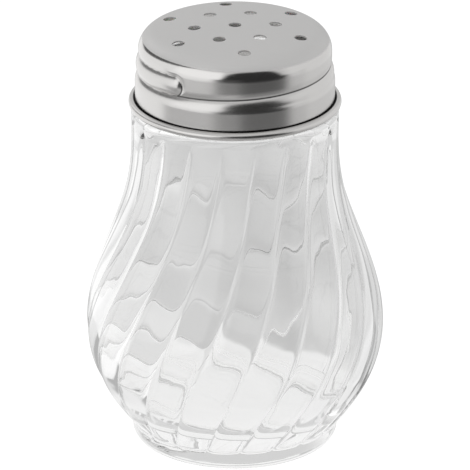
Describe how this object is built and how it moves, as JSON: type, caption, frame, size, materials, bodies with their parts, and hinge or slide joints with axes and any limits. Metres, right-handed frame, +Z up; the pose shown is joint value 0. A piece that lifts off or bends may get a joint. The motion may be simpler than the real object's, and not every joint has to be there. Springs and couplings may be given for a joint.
{
  "type": "salt shaker",
  "caption": "Pear-shaped fluted glass shaker with swirling lobes and a perforated steel screw cap that turns and lifts on its thread.",
  "frame": {"origin": "centre of the foot, on the surface that the jar stands on", "axes": "+Z up along the jar's axis, through the middle of the cap; -Y is the side that the picture shows"},
  "size_m": [0.0604, 0.0604, 0.089],
  "materials": {
    "clear_glass": "clear, fire-polished, smooth",
    "stainless_steel": "satin top, polished shoulder and skirt",
    "seal_rubber": "translucent, matt"
  },
  "bodies": {
    "jar": {"glass_jar": "clear_glass"},
    "seal": {"seal_ring": "seal_rubber"},
    "cap": {"shaker_cap": "stainless_steel"}
  },
  "joints": [
    {"name": "cap_lift", "type": "slide", "parent": "jar", "child": "seal", "axis": [0, 0, 1], "range_m": [0, 0.002]},
    {"name": "cap_turn", "type": "hinge", "parent": "seal", "child": "cap", "pos_m": [0, 0, 0.08628], "axis": [0, 0, 1], "range_deg": [0, 180]}
  ],
  "couplings": [
    {"joint": "cap_lift", "follows": "cap_turn", "m_per_rad": 0.00063662}
  ]
}
